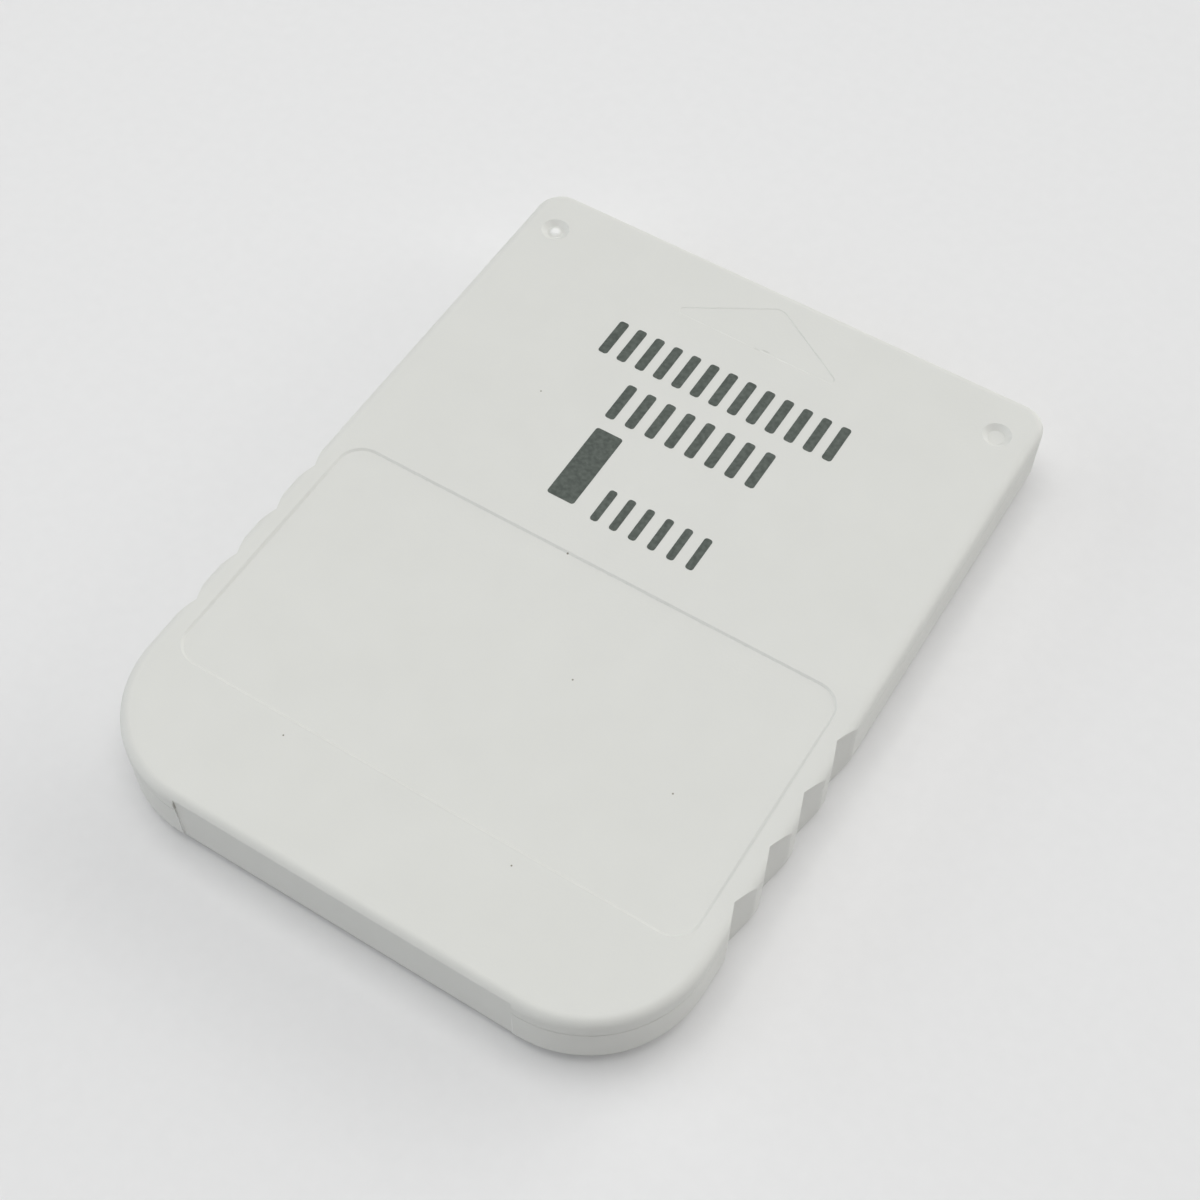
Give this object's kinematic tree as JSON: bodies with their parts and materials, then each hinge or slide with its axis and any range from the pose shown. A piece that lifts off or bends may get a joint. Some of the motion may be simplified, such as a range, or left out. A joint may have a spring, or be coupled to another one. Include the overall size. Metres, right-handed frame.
{
  "type": "console memory card",
  "caption": "Flat moulded memory card for a games console, with a label recess, notched finger grips, an insertion arrow and a divided contact mouth in its nose.",
  "frame": {"origin": "middle of the back face, on which the card lies", "axes": "+X across the card, +Y along it towards the nose that goes into the console, +Z out of the label face"},
  "size_m": [0.042, 0.057, 0.006],
  "materials": {
    "case": "finely textured light grey moulded plastic",
    "print_ink": "dark printing ink",
    "board": "green solder mask on glass laminate",
    "plated_contact": "bright plated spring metal",
    "chip_mould": "black moulding compound",
    "resonator_ceramic": "dipped blue coating",
    "capacitor_ceramic": "tan ceramic",
    "resistor_glaze": "black glaze",
    "screw_steel": "zinc plated"
  },
  "bodies": {
    "root": {"front_shell": "case", "rear_shell": "case", "circuit_board": "board", "contact_1": "plated_contact", "contact_2": "plated_contact", "contact_3": "plated_contact", "contact_4": "plated_contact", "contact_5": "plated_contact", "contact_6": "plated_contact", "contact_7": "plated_contact", "contact_8": "plated_contact", "controller_chip": "chip_mould", "memory_chip": "chip_mould", "transistor": "chip_mould", "resonator": "resonator_ceramic", "capacitor_1": "capacitor_ceramic", "capacitor_2": "capacitor_ceramic", "capacitor_3": "capacitor_ceramic", "resistor_1": "resistor_glaze", "resistor_2": "resistor_glaze", "resistor_3": "resistor_glaze", "case_screw": "screw_steel"}
  },
  "joints": []
}
